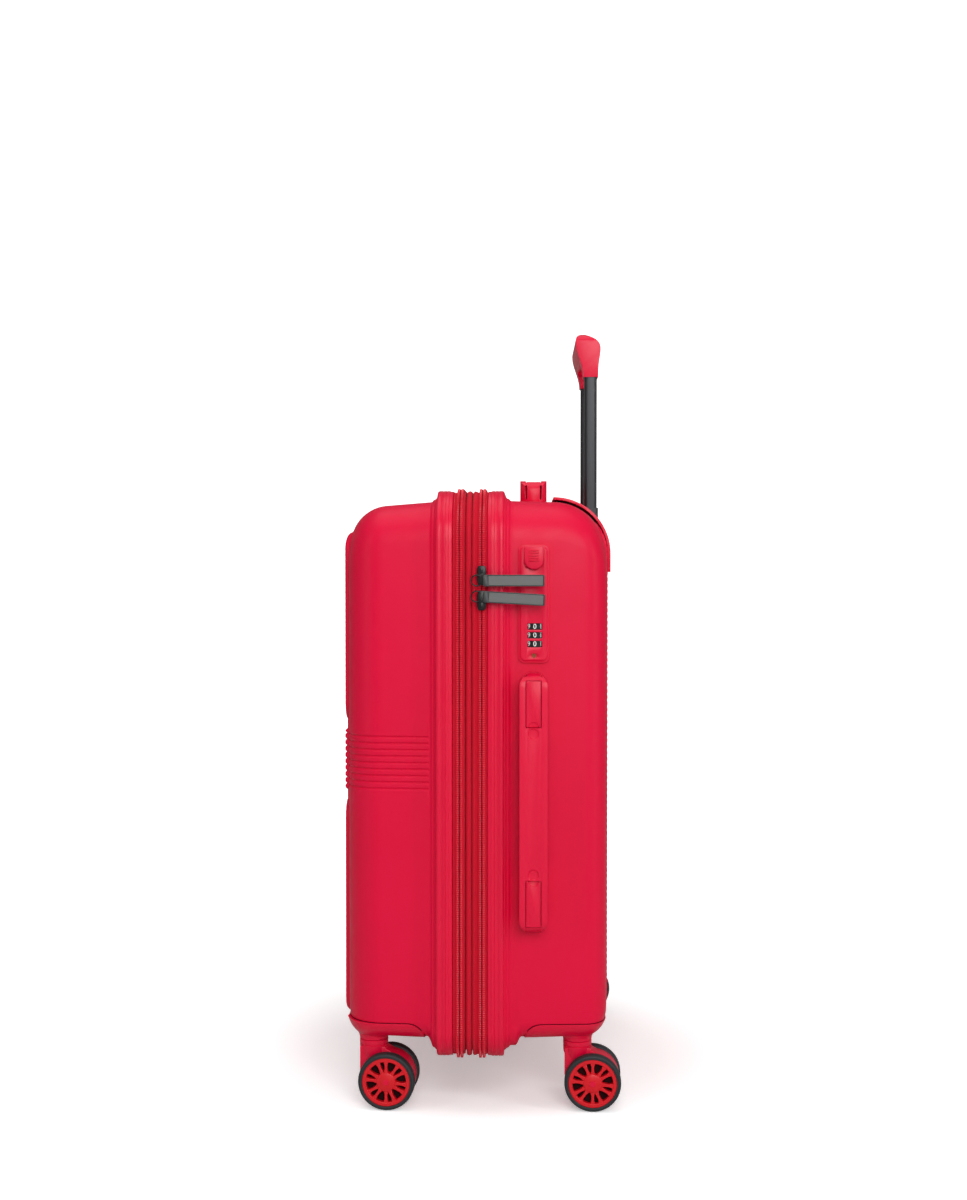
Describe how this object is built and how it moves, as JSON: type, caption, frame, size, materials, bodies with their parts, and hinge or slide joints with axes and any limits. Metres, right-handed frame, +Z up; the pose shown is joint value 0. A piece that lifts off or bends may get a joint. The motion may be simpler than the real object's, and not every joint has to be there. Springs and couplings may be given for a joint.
{
  "type": "hard shell suitcase on wheels",
  "caption": "Hard shell case on twin spinner casters, with a telescopic trolley handle, carry handles, an expansion zip and a combination lock.",
  "frame": {"origin": "on the floor under the middle of the case, in the plane of the main zip", "axes": "+Z up along the height, +X to the side with the lock and the carry handle, +Y to the back with the trolley"},
  "size_m": [0.4774, 0.3008, 0.8352],
  "materials": {
    "shell": "moulded red polycarbonate shell, satin gloss with a very fine grain",
    "trim": "moulded red nylon trim, satin",
    "zip_fabric": "woven red polyester tape and coil",
    "gusset": "red woven polyester, folded",
    "grey_bracket": "grey moulded nylon",
    "wheel_rim": "red moulded wheel core, satin",
    "tyre": "dark grey soft tread",
    "tube": "dark anodised aluminium, satin",
    "slider": "black lacquered zinc",
    "puller": "grey gunmetal lacquer",
    "dial": "black moulded dial with white marks",
    "key": "reddish brown lacquered lock barrel"
  },
  "bodies": {
    "case_back": {"rear_shell": "shell", "rear_binding": "trim", "main_zip_rear_tape": "zip_fabric", "rear_corner_guard_right": "trim", "rear_corner_guard_left": "trim", "rear_side_rail": "trim", "trolley_bezel": "trim", "trolley_tube_foot": "grey_bracket", "trolley_outer_tube_right": "tube", "trolley_outer_tube_left": "tube", "side_handle_tongue_upper": "trim", "side_handle_tongue_lower": "trim", "top_handle_tongue_right": "trim", "top_handle_tongue_left": "trim", "lock_housing": "trim"},
    "zip_band": {"zip_band": "zip_fabric", "expansion_gusset": "gusset"},
    "case_front": {"front_shell": "shell", "front_binding": "trim", "expansion_zip_front_tape": "zip_fabric", "front_corner_guard_right": "trim", "front_corner_guard_left": "trim", "front_side_rail": "trim"},
    "trolley_middle": {"trolley_middle_tube_right": "tube", "trolley_middle_tube_left": "tube"},
    "trolley_inner": {"trolley_inner_tube_right": "tube", "trolley_inner_tube_left": "tube", "trolley_grip": "trim"},
    "trolley_button": {"trolley_button": "trim"},
    "side_handle": {"side_handle_bar": "trim"},
    "top_handle": {"top_handle_bar": "trim"},
    "lock_dial_1": {"lock_dial_1": "dial"},
    "lock_dial_2": {"lock_dial_2": "dial"},
    "lock_dial_3": {"lock_dial_3": "dial"},
    "lock_release": {"lock_release": "trim"},
    "key_cylinder": {"key_cylinder": "key"},
    "zip_slider_upper": {"zip_slider_upper": "slider"},
    "zip_slider_lower": {"zip_slider_lower": "slider"},
    "zip_puller_upper": {"zip_puller_upper": "puller"},
    "zip_puller_lower": {"zip_puller_lower": "puller"},
    "caster_front_right": {"caster_fork_front_right": "trim"},
    "wheel_front_right_a": {"wheel_rim_front_right_a": "wheel_rim", "wheel_tyre_front_right_a": "tyre"},
    "wheel_front_right_b": {"wheel_rim_front_right_b": "wheel_rim", "wheel_tyre_front_right_b": "tyre"},
    "caster_rear_right": {"caster_fork_rear_right": "trim"},
    "wheel_rear_right_a": {"wheel_rim_rear_right_a": "wheel_rim", "wheel_tyre_rear_right_a": "tyre"},
    "wheel_rear_right_b": {"wheel_rim_rear_right_b": "wheel_rim", "wheel_tyre_rear_right_b": "tyre"},
    "caster_front_left": {"caster_fork_front_left": "trim"},
    "wheel_front_left_a": {"wheel_rim_front_left_a": "wheel_rim", "wheel_tyre_front_left_a": "tyre"},
    "wheel_front_left_b": {"wheel_rim_front_left_b": "wheel_rim", "wheel_tyre_front_left_b": "tyre"},
    "caster_rear_left": {"caster_fork_rear_left": "trim"},
    "wheel_rear_left_a": {"wheel_rim_rear_left_a": "wheel_rim", "wheel_tyre_rear_left_a": "tyre"},
    "wheel_rear_left_b": {"wheel_rim_rear_left_b": "wheel_rim", "wheel_tyre_rear_left_b": "tyre"}
  },
  "joints": [
    {"name": "case_open", "type": "hinge", "parent": "case_back", "child": "zip_band", "pos_m": [-0.236, 0, 0.358], "axis": [0, 0, -1], "range_deg": [0, 175]},
    {"name": "expansion", "type": "slide", "parent": "zip_band", "child": "case_front", "axis": [0, -1, 0], "range_m": [0, 0.04], "deforming": ["expansion_gusset"]},
    {"name": "trolley_lower_stage", "type": "slide", "parent": "case_back", "child": "trolley_middle", "axis": [0, 0, 1], "range_m": [0, 0.19]},
    {"name": "trolley_upper_stage", "type": "slide", "parent": "trolley_middle", "child": "trolley_inner", "axis": [0, 0, 1], "range_m": [-0.146, 0.05]},
    {"name": "trolley_button_press", "type": "slide", "parent": "trolley_inner", "child": "trolley_button", "axis": [0, 0, -1], "range_m": [0, 0.004], "stiffness_N_per_m": 500, "springref_m": -0.002},
    {"name": "side_handle_lift", "type": "slide", "parent": "case_back", "child": "side_handle", "axis": [1, 0, 0], "range_m": [0, 0.011]},
    {"name": "top_handle_lift", "type": "slide", "parent": "case_back", "child": "top_handle", "axis": [0, 0, 1], "range_m": [0, 0.011]},
    {"name": "lock_dial_1_turn", "type": "hinge", "parent": "case_back", "child": "lock_dial_1", "pos_m": [0.2122, 0.055, 0.5125], "axis": [0, 0, 1], "continuous": true},
    {"name": "lock_dial_2_turn", "type": "hinge", "parent": "case_back", "child": "lock_dial_2", "pos_m": [0.2122, 0.055, 0.5034], "axis": [0, 0, 1], "continuous": true},
    {"name": "lock_dial_3_turn", "type": "hinge", "parent": "case_back", "child": "lock_dial_3", "pos_m": [0.2122, 0.055, 0.4943], "axis": [0, 0, 1], "continuous": true},
    {"name": "lock_release_slide", "type": "slide", "parent": "case_back", "child": "lock_release", "axis": [0, 0, -1], "range_m": [0, 0.004], "stiffness_N_per_m": 400, "springref_m": -0.002},
    {"name": "key_turn", "type": "hinge", "parent": "case_back", "child": "key_cylinder", "pos_m": [0.222, 0.054, 0.482], "axis": [1, 0, 0], "range_deg": [0, 90]},
    {"name": "zip_slider_upper_run", "type": "slide", "parent": "case_back", "child": "zip_slider_upper", "axis": [0, 0, 1], "range_m": [0, 0.03]},
    {"name": "zip_slider_lower_run", "type": "slide", "parent": "case_back", "child": "zip_slider_lower", "axis": [0, 0, -1], "range_m": [0, 0.055]},
    {"name": "zip_puller_upper_swing", "type": "hinge", "parent": "zip_slider_upper", "child": "zip_puller_upper", "pos_m": [0.2377, 0, 0.5695], "axis": [0, 0, -1], "range_deg": [0, 175]},
    {"name": "zip_puller_lower_swing", "type": "hinge", "parent": "zip_slider_lower", "child": "zip_puller_lower", "pos_m": [0.2377, 0, 0.536], "axis": [0, 0, -1], "range_deg": [0, 175]},
    {"name": "caster_front_right_swivel", "type": "hinge", "parent": "case_front", "child": "caster_front_right", "pos_m": [0.185, -0.1165, 0.07], "axis": [0, 0, 1], "continuous": true},
    {"name": "wheel_front_right_a_spin", "type": "hinge", "parent": "caster_front_right", "child": "wheel_front_right_a", "pos_m": [0.20504, -0.1015, 0.03], "axis": [0.9978, -0.0663, 0], "continuous": true},
    {"name": "wheel_front_right_b_spin", "type": "hinge", "parent": "caster_front_right", "child": "wheel_front_right_b", "pos_m": [0.16712, -0.09898, 0.03], "axis": [0.9978, -0.0663, 0], "continuous": true},
    {"name": "caster_rear_right_swivel", "type": "hinge", "parent": "case_back", "child": "caster_rear_right", "pos_m": [0.185, 0.1008, 0.07], "axis": [0, 0, 1], "continuous": true},
    {"name": "wheel_rear_right_a_spin", "type": "hinge", "parent": "caster_rear_right", "child": "wheel_rear_right_a", "pos_m": [0.20447, 0.11653, 0.03], "axis": [0.9996, -0.0297, 0], "continuous": true},
    {"name": "wheel_rear_right_b_spin", "type": "hinge", "parent": "caster_rear_right", "child": "wheel_rear_right_b", "pos_m": [0.16649, 0.11766, 0.03], "axis": [0.9996, -0.0297, 0], "continuous": true},
    {"name": "caster_front_left_swivel", "type": "hinge", "parent": "case_front", "child": "caster_front_left", "pos_m": [-0.185, -0.1165, 0.07], "axis": [0, 0, 1], "continuous": true},
    {"name": "wheel_front_left_a_spin", "type": "hinge", "parent": "caster_front_left", "child": "wheel_front_left_a", "pos_m": [-0.17051, -0.09609, 0.03], "axis": [0.9703, 0.2419, 0], "continuous": true},
    {"name": "wheel_front_left_b_spin", "type": "hinge", "parent": "caster_front_left", "child": "wheel_front_left_b", "pos_m": [-0.20738, -0.10528, 0.03], "axis": [0.9703, 0.2419, 0], "continuous": true},
    {"name": "caster_rear_left_swivel", "type": "hinge", "parent": "case_back", "child": "caster_rear_left", "pos_m": [-0.185, 0.1008, 0.07], "axis": [0, 0, 1], "continuous": true},
    {"name": "wheel_rear_left_a_spin", "type": "hinge", "parent": "caster_rear_left", "child": "wheel_rear_left_a", "pos_m": [-0.17547, 0.12395, 0.03], "axis": [0.891, 0.454, 0], "continuous": true},
    {"name": "wheel_rear_left_b_spin", "type": "hinge", "parent": "caster_rear_left", "child": "wheel_rear_left_b", "pos_m": [-0.20933, 0.1067, 0.03], "axis": [0.891, 0.454, 0], "continuous": true}
  ]
}
